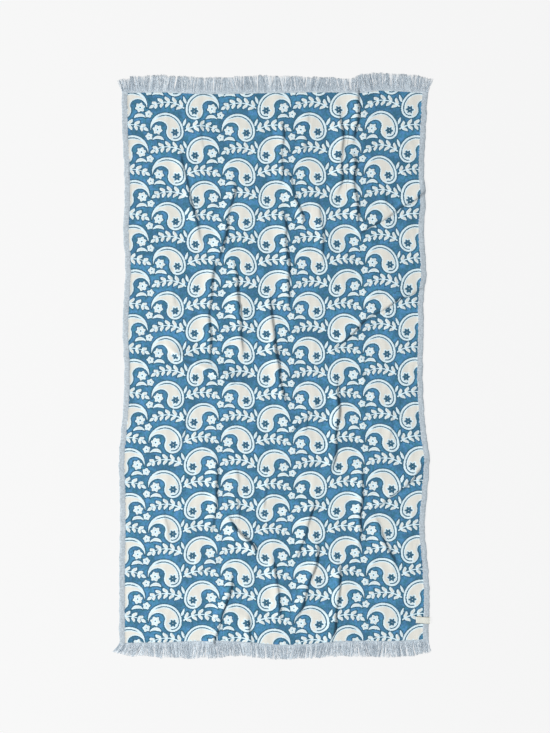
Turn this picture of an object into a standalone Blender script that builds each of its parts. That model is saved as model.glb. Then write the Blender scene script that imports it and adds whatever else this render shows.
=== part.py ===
# A flat-woven cotton bath and beach towel with a fringe at each end, spread out on a level surface.
# Units are metres, +Z is up, +Y runs along the towel, and the origin is under its middle on the surface.

import math
import random
from collections import namedtuple

import bpy
import bmesh
import numpy as np

# Driving dimensions
CLOTH_WIDTH = 0.930
CLOTH_LENGTH = 1.693
CLOTH_THICKNESS = 0.0020
HEM_WIDTH = 0.017
HEM_THICKNESS = 0.0026

CLOTH_COLUMNS = 50
CLOTH_ROWS = 60

STRANDS_A_SIDE = 136
HEADING_DEPTH = 0.004
HEADING_GAP = 0.0005
STRAND_HIGH = 0.0018
STRAND_TIP_HIGH = 0.0012
STRAND_MIDDLE_WIDTH = 0.0042
STRAND_TIP_WIDTH = 0.0022
STRAND_WAVER = 0.0010
STRAND_UNEVEN = 0.0020
STRAND_BEND_AT = 0.45
STRAND_BEND_LEAN = 0.35
STRAND_BEND_LIFT = 0.4
FACES_OUTWARD = 0.7

LABEL_LENGTH = 0.043
LABEL_WIDTH = 0.020
LABEL_LAYER = 0.0005
LABEL_FOLD_GAP = 0.0004
LABEL_PAST_EDGE = 0.003
LABEL_ALONG = -0.784
LABEL_TURN = math.radians(-3)
SEATING_GAP = 0.0003

# The two selvedges wander a little: how far each one is from the middle line, going up the towel.
Selvedge = namedtuple("Selvedge", "along left right")
SELVEDGES = [
    Selvedge(-0.850, -0.4765, 0.4715),
    Selvedge(-0.716, -0.4765, 0.4760),
    Selvedge(-0.606, -0.4765, 0.4700),
    Selvedge(-0.495, -0.4740, 0.4610),
    Selvedge(-0.385, -0.4750, 0.4695),
    Selvedge(-0.274, -0.4775, 0.4750),
    Selvedge(-0.219, -0.4730, 0.4670),
    Selvedge(-0.108, -0.4635, 0.4575),
    Selvedge(0.002, -0.4610, 0.4550),
    Selvedge(0.113, -0.4660, 0.4580),
    Selvedge(0.223, -0.4615, 0.4585),
    Selvedge(0.285, -0.4580, 0.4665),
    Selvedge(0.334, -0.4590, 0.4635),
    Selvedge(0.416, -0.4645, 0.4585),
    Selvedge(0.500, -0.4605, 0.4635),
    Selvedge(0.610, -0.4615, 0.4590),
    Selvedge(0.721, -0.4670, 0.4640),
    Selvedge(0.850, -0.4690, 0.4705),
]

# The two lines where the fringe leaves the cloth, going across it.
EndLine = namedtuple("EndLine", "across top bottom")
END_LINES = [
    EndLine(-0.470, 0.845, -0.850),
    EndLine(-0.330, 0.846, -0.848),
    EndLine(-0.205, 0.841, -0.843),
    EndLine(-0.090, 0.843, -0.847),
    EndLine(0.030, 0.845, -0.856),
    EndLine(0.120, 0.847, -0.852),
    EndLine(0.190, 0.846, -0.845),
    EndLine(0.255, 0.844, -0.843),
    EndLine(0.320, 0.852, -0.844),
    EndLine(0.385, 0.849, -0.843),
    EndLine(0.470, 0.842, -0.838),
]

# The fringe lies as it was combed out: its length and its sideways lean, from the left corner (-1) to the
# right one (1).
Combed = namedtuple("Combed", "share top_length top_lean bottom_length bottom_lean")
COMBED = [
    Combed(-1.00, 0.036, -0.013, 0.026, -0.022),
    Combed(-0.93, 0.046, -0.006, 0.036, -0.012),
    Combed(-0.85, 0.050, -0.002, 0.042, -0.004),
    Combed(-0.70, 0.050, 0.001, 0.046, -0.001),
    Combed(-0.50, 0.047, 0.000, 0.051, 0.002),
    Combed(-0.25, 0.049, -0.002, 0.043, 0.003),
    Combed(0.00, 0.050, 0.001, 0.042, -0.002),
    Combed(0.25, 0.045, 0.002, 0.043, -0.003),
    Combed(0.48, 0.044, -0.001, 0.046, 0.000),
    Combed(0.57, 0.051, 0.002, 0.046, 0.002),
    Combed(0.67, 0.050, -0.002, 0.048, -0.002),
    Combed(0.80, 0.048, 0.002, 0.047, 0.001),
    Combed(0.93, 0.050, 0.006, 0.045, 0.002),
    Combed(1.00, 0.042, 0.014, 0.039, 0.006),
]

# Soft ridges where the cloth stands off the surface. Each runs from (x0, y0) to (x1, y1), bowed to the left
# of that run, and falls away steeply on its left and gently on its right.
Fold = namedtuple("Fold", "x0 y0 x1 y1 bow height")
FOLDS = [
    Fold(0.256, 0.900, 0.235, 0.670, 0.000, 0.0085),
    Fold(0.190, 0.822, 0.190, 0.515, 0.009, 0.0070),
    Fold(0.236, 0.672, 0.254, 0.418, -0.006, 0.0080),
    Fold(0.500, 0.568, 0.222, 0.396, 0.000, 0.0090),
    Fold(0.017, 0.770, 0.011, 0.550, 0.004, 0.0060),
    Fold(0.030, 0.612, 0.088, 0.420, 0.000, 0.0065),
    Fold(0.017, 0.500, 0.035, 0.150, 0.006, 0.0080),
    Fold(0.129, 0.522, 0.144, 0.312, 0.004, 0.0050),
    Fold(-0.298, 0.684, -0.220, 0.360, -0.008, 0.0065),
    Fold(-0.122, 0.590, -0.182, 0.296, 0.000, 0.0070),
    Fold(-0.178, 0.372, -0.194, -0.030, -0.020, 0.0065),
    Fold(-0.132, 0.350, -0.102, 0.020, 0.000, 0.0075),
    Fold(-0.019, 0.236, 0.036, -0.144, -0.014, 0.0090),
    Fold(0.500, 0.262, 0.160, 0.034, -0.034, 0.0090),
    Fold(-0.078, -0.054, -0.346, 0.074, 0.010, 0.0080),
    Fold(0.184, -0.004, 0.166, -0.345, 0.010, 0.0075),
    Fold(0.144, -0.096, 0.030, -0.212, 0.000, 0.0050),
    Fold(0.156, -0.304, -0.132, -0.310, 0.000, 0.0050),
    Fold(-0.185, -0.262, -0.199, -0.528, 0.006, 0.0060),
    Fold(-0.154, -0.444, -0.044, -0.580, -0.014, 0.0090),
    Fold(0.122, -0.398, 0.060, -0.598, 0.000, 0.0065),
    Fold(0.270, -0.282, 0.255, -0.582, -0.006, 0.0075),
    Fold(-0.012, -0.572, 0.016, -0.790, 0.000, 0.0065),
    Fold(0.137, -0.516, 0.054, -0.790, 0.006, 0.0075),
    Fold(0.196, -0.584, 0.164, -0.860, 0.006, 0.0075),
    Fold(-0.126, -0.612, -0.222, -0.920, 0.004, 0.0075),
    Fold(-0.088, -0.750, -0.070, -0.940, 0.000, 0.0055),
    Fold(0.480, -0.270, 0.280, -0.440, 0.012, 0.0065),
    Fold(0.302, -0.444, 0.380, -0.628, -0.010, 0.0055),
]
FOLD_STEEP = 0.026
FOLD_GENTLE = 0.042
FOLD_FADE = 0.22


def smooth_through(table, place, value, at):
    """Reads one column of a table at any place, along a smooth curve through its rows."""
    places = np.array([getattr(row, place) for row in table])
    values = np.array([getattr(row, value) for row in table])
    slopes = np.gradient(values, places)
    at = min(max(at, places[0]), places[-1])
    i = min(int(np.searchsorted(places, at, side="right")) - 1, len(places) - 2)
    span = places[i + 1] - places[i]
    t = (at - places[i]) / span
    start = (1 + 2 * t) * (1 - t) ** 2 * values[i] + t * (1 - t) ** 2 * span * slopes[i]
    end = t**2 * (3 - 2 * t) * values[i + 1] + t**2 * (t - 1) * span * slopes[i + 1]
    return float(start + end)


def eased(t):
    """Goes from 0 to 1 with level ends."""
    t = min(max(t, 0.0), 1.0)
    return t * t * (3 - 2 * t)


def fold_height(fold, x, y):
    """How far one fold lifts the cloth at a point."""
    run = math.hypot(fold.x1 - fold.x0, fold.y1 - fold.y0)
    ux, uy = (fold.x1 - fold.x0) / run, (fold.y1 - fold.y0) / run
    share = ((x - fold.x0) * ux + (y - fold.y0) * uy) / run
    if not 0 < share < 1:
        return 0.0
    off = (y - fold.y0) * ux - (x - fold.x0) * uy - fold.bow * 4 * share * (1 - share)
    reach = FOLD_STEEP if off > 0 else FOLD_GENTLE
    if abs(off) >= reach:
        return 0.0
    crown = 0.5 * (1 + math.cos(math.pi * off / reach))
    return fold.height * crown * eased(share / FOLD_FADE) * eased((1 - share) / FOLD_FADE)


def lift(x, y):
    """Height of the cloth's underside over the surface: 0 wherever no fold passes."""
    return math.sqrt(sum(fold_height(fold, x, y) ** 2 for fold in FOLDS))


def laid_out(across, along):
    """The point on the surface where a point of the flat cloth lies."""
    left = smooth_through(SELVEDGES, "along", "left", along)
    right = smooth_through(SELVEDGES, "along", "right", along)
    top = smooth_through(END_LINES, "across", "top", across)
    bottom = smooth_through(END_LINES, "across", "bottom", across)
    x = left + (right - left) * (across / CLOTH_WIDTH + 0.5)
    y = bottom + (top - bottom) * (along / CLOTH_LENGTH + 0.5)
    return x, y


def plain_material(name, colour, roughness):
    """A matt fabric finish in one colour."""
    material = bpy.data.materials.new(name)
    material.use_nodes = True
    shader = material.node_tree.nodes["Principled BSDF"]
    shader.inputs["Base Color"].default_value = (*colour, 1.0)
    shader.inputs["Roughness"].default_value = roughness
    shader.inputs["Metallic"].default_value = 0.0
    return material


def add_object(name, mesh, material, collection):
    """Puts a mesh in the towel's collection as one named piece."""
    mesh.materials.append(material)
    piece = bpy.data.objects.new(name, mesh)
    collection.objects.link(piece)
    return piece


def grid_lines(count, half, border):
    """Places of a grid's lines from -half to half, with one line at each border's inner edge."""
    inner = np.linspace(-half + border, half - border, count - 1)
    return [-half, *inner, half]


def make_cloth(collection):
    """The woven cloth: an open sheet laid over the folds, then thickened, more so at its two side hems."""
    columns = grid_lines(CLOTH_COLUMNS, CLOTH_WIDTH / 2, HEM_WIDTH)
    rows = np.linspace(-CLOTH_LENGTH / 2, CLOTH_LENGTH / 2, CLOTH_ROWS + 1)
    mesh = bpy.data.meshes.new("towel_cloth")
    bm = bmesh.new()
    bmesh.ops.create_grid(bm, x_segments=CLOTH_COLUMNS, y_segments=CLOTH_ROWS, size=1.0)
    hem_points = []
    for vert in bm.verts:
        column = round((vert.co.x + 1) / 2 * CLOTH_COLUMNS)
        row = round((vert.co.y + 1) / 2 * CLOTH_ROWS)
        x, y = laid_out(columns[column], rows[row])
        vert.co = (x, y, lift(x, y))
        if column in (0, 1, CLOTH_COLUMNS - 1, CLOTH_COLUMNS):
            hem_points.append(vert.index)
    bm.to_mesh(mesh)
    bm.free()
    mesh.shade_smooth()
    weave = plain_material("woven_cloth", (0.29, 0.43, 0.52), 0.9)
    cloth = add_object("towel_cloth", mesh, weave, collection)
    thickness = cloth.vertex_groups.new(name="thickness")
    thickness.add(range(len(mesh.vertices)), CLOTH_THICKNESS / HEM_THICKNESS, "REPLACE")
    thickness.add(hem_points, 1.0, "REPLACE")
    solid = cloth.modifiers.new("thickness", "SOLIDIFY")
    solid.thickness = HEM_THICKNESS
    solid.offset = 1.0
    solid.vertex_group = thickness.name
    return cloth


def end_point(share, outward, depth):
    """A point beyond the cloth's end line, at a share of the width and a depth past the gap."""
    across = share * CLOTH_WIDTH / 2
    x, y = laid_out(across, outward * CLOTH_LENGTH / 2)
    return x, y + outward * (HEADING_GAP + depth)


def heading_mesh(outward):
    """The narrow strip of weave at the root of a fringe, one cell wide for each strand."""
    mesh = bpy.data.meshes.new("heading")
    bm = bmesh.new()
    bmesh.ops.create_grid(bm, x_segments=STRANDS_A_SIDE, y_segments=1, size=1.0)
    for vert in bm.verts:
        depth = HEADING_DEPTH if vert.co.y * outward > 0 else 0.0
        x, y = end_point(vert.co.x, outward, depth)
        vert.co = (x, y, lift(x, y))
    bm.to_mesh(mesh)
    bm.free()
    strip = bpy.data.objects.new("heading", mesh)
    bpy.context.scene.collection.objects.link(strip)
    solid = strip.modifiers.new("thickness", "SOLIDIFY")
    solid.thickness = STRAND_HIGH
    solid.offset = 1.0
    thick = bpy.data.meshes.new_from_object(strip.evaluated_get(bpy.context.evaluated_depsgraph_get()))
    bpy.data.objects.remove(strip)
    return thick


def set_section(face, x, y, width, low, high):
    """Moves a strand's four-cornered section to a place and size."""
    corners = sorted(face.verts, key=lambda vert: vert.co.x)
    for side, pair in ((-1, corners[:2]), (1, corners[2:])):
        under, over = sorted(pair, key=lambda vert: vert.co.z)
        under.co = (x + side * width / 2, y, low)
        over.co = (x + side * width / 2, y, high)


def make_fringe(name, outward, material, collection, seed):
    """One fringe: strands pulled out of their heading strip's outer face, and laid on the surface."""
    dice = random.Random(seed)
    end = "top" if outward > 0 else "bottom"
    mesh = heading_mesh(outward)
    bm = bmesh.new()
    bm.from_mesh(mesh)
    bm.normal_update()
    outer = [face for face in bm.faces if face.normal.y * outward > FACES_OUTWARD]
    grown = bmesh.ops.extrude_discrete_faces(bm, faces=outer)["faces"]
    grown.sort(key=lambda f: f.calc_center_median().x)
    for index, face in enumerate(grown):
        share = (2 * index + 1) / len(grown) - 1
        length = smooth_through(COMBED, "share", f"{end}_length", share) + dice.uniform(-1, 1) * STRAND_UNEVEN
        lean = smooth_through(COMBED, "share", f"{end}_lean", share)
        root_x, root_y = end_point(share, outward, HEADING_DEPTH)
        reach = length - HEADING_DEPTH
        middle_x = root_x + lean * STRAND_BEND_LEAN + dice.uniform(-1, 1) * STRAND_WAVER / 2
        middle_y = root_y + outward * reach * STRAND_BEND_AT
        low = lift(root_x, root_y) * STRAND_BEND_LIFT
        set_section(face, middle_x, middle_y, STRAND_MIDDLE_WIDTH, low, low + STRAND_HIGH)
        tip = bmesh.ops.extrude_discrete_faces(bm, faces=[face])["faces"][0]
        tip_x = root_x + lean + dice.uniform(-1, 1) * STRAND_WAVER
        set_section(tip, tip_x, root_y + outward * reach, STRAND_TIP_WIDTH, 0.0, STRAND_TIP_HIGH)
    bm.to_mesh(mesh)
    bm.free()
    mesh.name = name
    return add_object(name, mesh, material, collection)


def make_label(collection):
    """The blank tape label: a strip doubled back on itself, its fold on the cloth, its ends past the hem."""
    edge, along = laid_out(CLOTH_WIDTH / 2, LABEL_ALONG)
    step = LABEL_LAYER + LABEL_FOLD_GAP
    outline = [
        (0.0, 0.0),
        (LABEL_LENGTH, 0.0),
        (LABEL_LENGTH, LABEL_LAYER),
        (LABEL_LAYER, LABEL_LAYER),
        (LABEL_LAYER, step),
        (LABEL_LENGTH, step),
        (LABEL_LENGTH, step + LABEL_LAYER),
        (0.0, step + LABEL_LAYER),
    ]
    mesh = bpy.data.meshes.new("label")
    bm = bmesh.new()
    side = bm.faces.new([bm.verts.new((x, -LABEL_WIDTH / 2, z)) for x, z in outline])
    grown = bmesh.ops.extrude_face_region(bm, geom=[side], use_keep_orig=True)["geom"]
    far_side = [element for element in grown if isinstance(element, bmesh.types.BMVert)]
    bmesh.ops.translate(bm, vec=(0, LABEL_WIDTH, 0), verts=far_side)
    bmesh.ops.recalc_face_normals(bm, faces=bm.faces)
    bm.to_mesh(mesh)
    bm.free()
    label = add_object("label", mesh, plain_material("label_tape", (0.80, 0.78, 0.70), 0.75), collection)
    label.location = (edge + LABEL_PAST_EDGE - LABEL_LENGTH, along, HEM_THICKNESS + SEATING_GAP)
    label.rotation_euler = (0, 0, LABEL_TURN)
    return label


def move_middle_to_origin(pieces):
    """Shifts every piece so that the towel's outline is centred on the origin."""
    bpy.context.view_layer.update()
    graph = bpy.context.evaluated_depsgraph_get()
    points = []
    for piece in pieces:
        solid = piece.evaluated_get(graph)
        points += [solid.matrix_world @ vert.co for vert in solid.data.vertices]
    for axis in (0, 1):
        lowest = min(point[axis] for point in points)
        highest = max(point[axis] for point in points)
        for piece in pieces:
            piece.location[axis] -= (lowest + highest) / 2
        print("size along axis", axis, round(highest - lowest, 4), "shift", round((lowest + highest) / 2, 5))


def main():
    for old in list(bpy.data.objects):
        bpy.data.objects.remove(old)
    towel = bpy.data.collections.new("turkish_towel")
    bpy.context.scene.collection.children.link(towel)
    yarn = plain_material("fringe_yarn", (0.48, 0.55, 0.61), 0.95)
    pieces = [
        make_cloth(towel),
        make_fringe("fringe_top", 1, yarn, towel, seed=11),
        make_fringe("fringe_bottom", -1, yarn, towel, seed=12),
        make_label(towel),
    ]
    move_middle_to_origin(pieces)


main()
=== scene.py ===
# %% [markdown]
# # A fringed Turkish towel, spread out
#
# The real thing is one width of double-woven cotton, about 0.93 m by 1.7 m, with a turned hem down each
# side. Its warp ends are left long at both ends and combed out as a fringe. A small folded tape is sewn to
# one hem. It was put down by hand on a flat surface, so soft ridges cross it and the pattern wanders.
#
# This lesson makes the finished look round solids that are already made at their real size. Each piece is
# built where its solid lies, and the weave, the figures and the yarn are worked out in the materials.

import math
from collections import namedtuple

import bpy
import numpy as np
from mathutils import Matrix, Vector, noise


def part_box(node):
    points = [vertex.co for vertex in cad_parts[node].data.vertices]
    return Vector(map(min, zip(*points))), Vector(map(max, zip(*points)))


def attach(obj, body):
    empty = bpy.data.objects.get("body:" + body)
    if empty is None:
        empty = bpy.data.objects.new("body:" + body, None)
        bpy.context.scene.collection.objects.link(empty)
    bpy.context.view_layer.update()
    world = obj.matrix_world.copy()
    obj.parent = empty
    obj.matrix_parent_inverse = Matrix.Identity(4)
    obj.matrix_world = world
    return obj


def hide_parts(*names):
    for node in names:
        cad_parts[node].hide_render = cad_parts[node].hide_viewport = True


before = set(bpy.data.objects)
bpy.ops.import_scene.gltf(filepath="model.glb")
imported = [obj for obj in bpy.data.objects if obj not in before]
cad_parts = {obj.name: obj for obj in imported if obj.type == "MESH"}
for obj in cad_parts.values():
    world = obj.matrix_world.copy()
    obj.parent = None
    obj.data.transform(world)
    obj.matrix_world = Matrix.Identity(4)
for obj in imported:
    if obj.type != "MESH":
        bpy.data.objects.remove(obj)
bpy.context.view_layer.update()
CLOTH_BOX = [list(corner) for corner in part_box("towel_cloth")]
LABEL_BOX = [list(corner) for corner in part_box("label")]
print("cloth box:", CLOTH_BOX)

# %% [markdown]
# ## How the cloth lies
#
# A towel that was woven square never lies quite square: its edges wander by a few millimetres as it is
# smoothed out. Two short tables hold where its edges run, and one more holds its folds. A physics
# simulation could settle the cloth too, but then the folds would fall where they like. These follow the
# towel, so they are listed one by one.

# %% Sizes of the cloth, in metres
CLOTH_WIDTH = 0.930
CLOTH_LENGTH = 1.693
CLOTH_THICKNESS = 0.0020
HEM_WIDTH = 0.017
HEM_THICKNESS = 0.0026

Selvedge = namedtuple("Selvedge", "along left right")
SELVEDGES = [Selvedge(*row) for row in (
    (-0.850, -0.4765, 0.4715), (-0.716, -0.4765, 0.4760), (-0.606, -0.4765, 0.4700),
    (-0.495, -0.4740, 0.4610), (-0.385, -0.4750, 0.4695), (-0.274, -0.4775, 0.4750),
    (-0.219, -0.4730, 0.4670), (-0.108, -0.4635, 0.4575), (0.002, -0.4610, 0.4550),
    (0.113, -0.4660, 0.4580), (0.223, -0.4615, 0.4585), (0.285, -0.4580, 0.4665),
    (0.334, -0.4590, 0.4635), (0.416, -0.4645, 0.4585), (0.500, -0.4605, 0.4635),
    (0.610, -0.4615, 0.4590), (0.721, -0.4670, 0.4640), (0.850, -0.4690, 0.4705),
)]

EndLine = namedtuple("EndLine", "across top bottom")
END_LINES = [EndLine(*row) for row in (
    (-0.470, 0.845, -0.850), (-0.330, 0.846, -0.848), (-0.205, 0.841, -0.843), (-0.090, 0.843, -0.847),
    (0.030, 0.845, -0.856), (0.120, 0.847, -0.852), (0.190, 0.846, -0.845), (0.255, 0.844, -0.843),
    (0.320, 0.852, -0.844), (0.385, 0.849, -0.843), (0.470, 0.842, -0.838),
)]

# %% The folds
# Each fold runs from (x0, y0) to (x1, y1), bowed to the left of that run. Its left flank is the steep one.
Fold = namedtuple("Fold", "x0 y0 x1 y1 bow height")
FOLDS = [Fold(*row) for row in (
    (0.256, 0.900, 0.235, 0.670, 0.000, 0.0085), (0.190, 0.822, 0.190, 0.515, 0.009, 0.0070),
    (0.236, 0.672, 0.254, 0.418, -0.006, 0.0080), (0.500, 0.568, 0.222, 0.396, 0.000, 0.0090),
    (0.017, 0.770, 0.011, 0.550, 0.004, 0.0060), (0.030, 0.612, 0.088, 0.420, 0.000, 0.0065),
    (0.017, 0.500, 0.035, 0.150, 0.006, 0.0080), (0.129, 0.522, 0.144, 0.312, 0.004, 0.0050),
    (-0.298, 0.684, -0.220, 0.360, -0.008, 0.0065), (-0.122, 0.590, -0.182, 0.296, 0.000, 0.0070),
    (-0.178, 0.372, -0.194, -0.030, -0.020, 0.0065), (-0.132, 0.350, -0.102, 0.020, 0.000, 0.0075),
    (-0.019, 0.236, 0.036, -0.144, -0.014, 0.0090), (0.500, 0.262, 0.160, 0.034, -0.034, 0.0090),
    (-0.078, -0.054, -0.346, 0.074, 0.010, 0.0080), (0.184, -0.004, 0.166, -0.345, 0.010, 0.0075),
    (0.144, -0.096, 0.030, -0.212, 0.000, 0.0050), (0.156, -0.304, -0.132, -0.310, 0.000, 0.0050),
    (-0.185, -0.262, -0.199, -0.528, 0.006, 0.0060), (-0.154, -0.444, -0.044, -0.580, -0.014, 0.0090),
    (0.122, -0.398, 0.060, -0.598, 0.000, 0.0065), (0.270, -0.282, 0.255, -0.582, -0.006, 0.0075),
    (-0.012, -0.572, 0.016, -0.790, 0.000, 0.0065), (0.137, -0.516, 0.054, -0.790, 0.006, 0.0075),
    (0.196, -0.584, 0.164, -0.860, 0.006, 0.0075), (-0.126, -0.612, -0.222, -0.920, 0.004, 0.0075),
    (-0.088, -0.750, -0.070, -0.940, 0.000, 0.0055), (0.480, -0.270, 0.280, -0.440, 0.012, 0.0065),
    (0.302, -0.444, 0.380, -0.628, -0.010, 0.0055),
)]
CREASES = [Fold(*row) for row in (
    (0.252, 0.332, 0.072, 0.345, -0.010, 0.0035), (-0.298, 0.526, -0.396, 0.519, 0.000, 0.0026),
    (0.248, 0.010, 0.280, -0.052, 0.000, 0.0030), (-0.122, -0.290, -0.117, -0.500, 0.004, 0.0032),
    (0.448, -0.068, 0.366, -0.052, 0.000, 0.0030), (-0.160, -0.590, -0.310, -0.648, 0.006, 0.0034),
    (0.096, -0.130, 0.088, -0.215, 0.000, 0.0030), (-0.156, -0.708, -0.218, -0.836, 0.004, 0.0034),
    (0.404, 0.262, 0.270, 0.202, -0.006, 0.0036), (-0.330, 0.330, -0.305, 0.180, 0.000, 0.0022),
    (0.330, 0.250, 0.352, 0.090, 0.004, 0.0024), (-0.270, -0.130, -0.300, -0.260, 0.000, 0.0024),
    (0.360, -0.120, 0.345, -0.250, 0.000, 0.0026), (-0.020, -0.330, -0.040, -0.450, 0.000, 0.0026),
    (-0.345, -0.420, -0.325, -0.560, 0.000, 0.0022), (-0.240, 0.780, -0.215, 0.640, 0.000, 0.0026),
    (0.100, 0.800, 0.086, 0.640, 0.000, 0.0028), (0.330, 0.560, 0.352, 0.430, 0.000, 0.0024),
)]
FOLD_FADE = 0.22
FLANK = 0.0060
FLANK_GROWTH = 0.70
GENTLE = 3.0
OVERHANG = 0.95
OVERHANG_REACH = 1.45
WANDER = 0.0022
WANDER_LENGTH = 0.12
UNEVEN = 0.35
UNEVEN_LENGTH = 0.17
FREE_EDGE = 0.050
NEAR_START, NEAR_END, NEAR_FADE = -0.022, 0.028, 0.009
CLEAR_LEAD = 0.3
NO_FOLD = 1e-9
WANDER_PHASE, UNEVEN_PHASE = 90, 70


def along_curve(table, place, value, at):
    """Reads one column of a table at many places, along a smooth curve through its rows."""
    places = np.array([getattr(row, place) for row in table])
    values = np.array([getattr(row, value) for row in table])
    slopes = np.gradient(values, places)
    at = np.clip(at, places[0], places[-1])
    i = np.clip(np.searchsorted(places, at, side="right") - 1, 0, len(places) - 2)
    span = places[i + 1] - places[i]
    t = (at - places[i]) / span
    start = (1 + 2 * t) * (1 - t) ** 2 * values[i] + t * (1 - t) ** 2 * span * slopes[i]
    end = t**2 * (3 - 2 * t) * values[i + 1] + t**2 * (t - 1) * span * slopes[i + 1]
    return start + end


def eased(t):
    """Goes from 0 to 1 with level ends."""
    t = np.clip(t, 0.0, 1.0)
    return t * t * (3 - 2 * t)


def beside(fold, x, y):
    """How far points are on the steep side of a fold's line, and how high the fold is there."""
    run = math.hypot(fold.x1 - fold.x0, fold.y1 - fold.y0)
    ux, uy = (fold.x1 - fold.x0) / run, (fold.y1 - fold.y0) / run
    share = ((x - fold.x0) * ux + (y - fold.y0) * uy) / run
    off = (y - fold.y0) * ux - (x - fold.x0) * uy - fold.bow * 4 * share * (1 - share)
    off = off + WANDER * np.sin(share * run * 2 * math.pi / WANDER_LENGTH + fold.x0 * WANDER_PHASE)
    uneven = 0.5 + 0.5 * np.sin(share * run * 2 * math.pi / UNEVEN_LENGTH + fold.y0 * UNEVEN_PHASE)
    height = fold.height * eased(share / FOLD_FADE) * eased((1 - share) / FOLD_FADE) * (1 - UNEVEN * uneven)
    return off, height, (-uy, ux)


def crown(off, steep, gentle):
    """A rounded ridge, 1 on its line and 0 at the foot of each flank."""
    reach = np.where(off > 0, steep, gentle)
    return 0.5 * (1 + np.cos(math.pi * np.clip(off / reach, -1, 1)))


def folded(x, y):
    """Where the folds bring points of the smoothed cloth: across, along and up."""
    push_x, push_y, squares = np.zeros_like(x), np.zeros_like(y), np.zeros_like(x)
    for fold in FOLDS + CREASES:
        off, height, (steep_x, steep_y) = beside(fold, x, y)
        flank = FLANK + FLANK_GROWTH * fold.height
        squares += (height * crown(off, flank, flank * GENTLE)) ** 2
        push = OVERHANG * height * crown(off, flank * OVERHANG_REACH, flank * GENTLE * OVERHANG_REACH)
        push_x += push * steep_x
        push_y += push * steep_y
    held = eased((CLOTH_WIDTH / 2 - np.abs(x)) / FREE_EDGE)
    return x + push_x * held, y + push_y * held, np.sqrt(squares)


def nearest_fold(x, y):
    """How far points are on the steep side of the fold that shows most there, and how high that fold is."""
    best_off, best_height, best, second = (np.zeros_like(x) for _ in range(4))
    for fold in FOLDS + CREASES:
        off, height, _ = beside(fold, x, y)
        height = height * eased((off - NEAR_START) / NEAR_FADE) * eased((NEAR_END - off) / NEAR_FADE)
        shows = height * crown(off, NEAR_END, -NEAR_START)
        second = np.where(shows > best, best, np.maximum(second, shows))
        best_off = np.where(shows > best, off, best_off)
        best_height = np.where(shows > best, height, best_height)
        best = np.maximum(shows, best)
    lead = (best - second) / np.maximum(best, NO_FOLD)
    return best_off, best_height * eased(lead / CLEAR_LEAD)


def laid_out(across, along):
    """The points on the surface where points of the flat cloth lie."""
    left = along_curve(SELVEDGES, "along", "left", along)
    right = along_curve(SELVEDGES, "along", "right", along)
    top = along_curve(END_LINES, "across", "top", across)
    bottom = along_curve(END_LINES, "across", "bottom", across)
    x = left + (right - left) * (across / CLOTH_WIDTH + 0.5)
    y = bottom + (top - bottom) * (along / CLOTH_LENGTH + 0.5)
    return x, y


print("folds:", len(FOLDS), "small creases:", len(CREASES))

# %% [markdown]
# ## A bench for node trees
#
# The figures of the weave are drawn by sums in shader nodes, so that their edges stay crisp however near
# the camera comes. Made of nodes they are long to write, so a small class lets them be written as usual.

# %% Sums that build nodes
MIX_A, MIX_B, MIX_RESULT = 6, 7, 2


def add_node(tree, kind, inputs, **settings):
    """Adds a node, with its settings, and with a value or a link for each input that is named."""
    node = tree.nodes.new(kind)
    for name, value in settings.items():
        setattr(node, name, value)
    for name, value in inputs.items():
        if isinstance(value, Field):
            tree.links.new(value.socket, node.inputs[name])
        else:
            node.inputs[name].default_value = value
    return node


class Field:
    """A number, place or colour that changes over a surface: one output of a node."""

    def __init__(self, tree, socket):
        self.tree = tree
        self.socket = socket

    def math(self, operation, *others):
        """One Math node, with this field first and the others after it."""
        inputs = dict(enumerate((self, *others)))
        return Field(self.tree, add_node(self.tree, "ShaderNodeMath", inputs, operation=operation).outputs[0])

    def __add__(self, other):
        return self.math("ADD", other)

    def __sub__(self, other):
        return self.math("SUBTRACT", other)

    def __rsub__(self, other):
        return -self + other

    def __mul__(self, other):
        return self.math("MULTIPLY", other)

    def __truediv__(self, other):
        return self.math("DIVIDE", other)

    def __neg__(self):
        return self.math("MULTIPLY", -1.0)

    def __abs__(self):
        return self.math("ABSOLUTE")

    def at_least(self, other):
        return self.math("MAXIMUM", other)

    def at_most(self, other):
        return self.math("MINIMUM", other)

    def wrapped(self, half):
        """The same number, brought to between -half and half by whole steps."""
        return self.math("WRAP", half, -half)

    def eased_between(self, low, high):
        """0 at low and 1 at high, with a smooth way between them."""
        inputs = {"Value": self, "From Min": low, "From Max": high}
        node = add_node(self.tree, "ShaderNodeMapRange", inputs, interpolation_type="SMOOTHSTEP")
        return Field(self.tree, node.outputs["Result"])

    def parts(self):
        """The across and along parts of a place."""
        node = add_node(self.tree, "ShaderNodeSeparateXYZ", {"Vector": self})
        return Field(self.tree, node.outputs["X"]), Field(self.tree, node.outputs["Y"])


def place_of(across, along):
    """One place from its two parts."""
    tree = across.tree
    return Field(tree, add_node(tree, "ShaderNodeCombineXYZ", {"X": across, "Y": along}).outputs["Vector"])


def length_of(across, along):
    """How far a place is from where both of its parts are nothing."""
    return (across * across + along * along).math("SQRT")


def mixed(share, first, second):
    """The first colour where share is 0 and the second where it is 1."""
    tree = share.tree
    node = add_node(tree, "ShaderNodeMix", {0: share, MIX_A: first, MIX_B: second}, data_type="RGBA")
    return Field(tree, node.outputs[MIX_RESULT])


def speckle(place, scale, detail=2.0, roughness=0.5):
    """Soft random patches between 0 and 1."""
    inputs = {"Vector": place, "Scale": scale, "Detail": detail, "Roughness": roughness}
    node = add_node(place.tree, "ShaderNodeTexNoise", inputs, noise_dimensions="2D")
    return Field(place.tree, node.outputs["Fac"])


# %% Node groups with named inputs and outputs
PLACES = ("Place", "Yarn Place", "Snapped")


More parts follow.
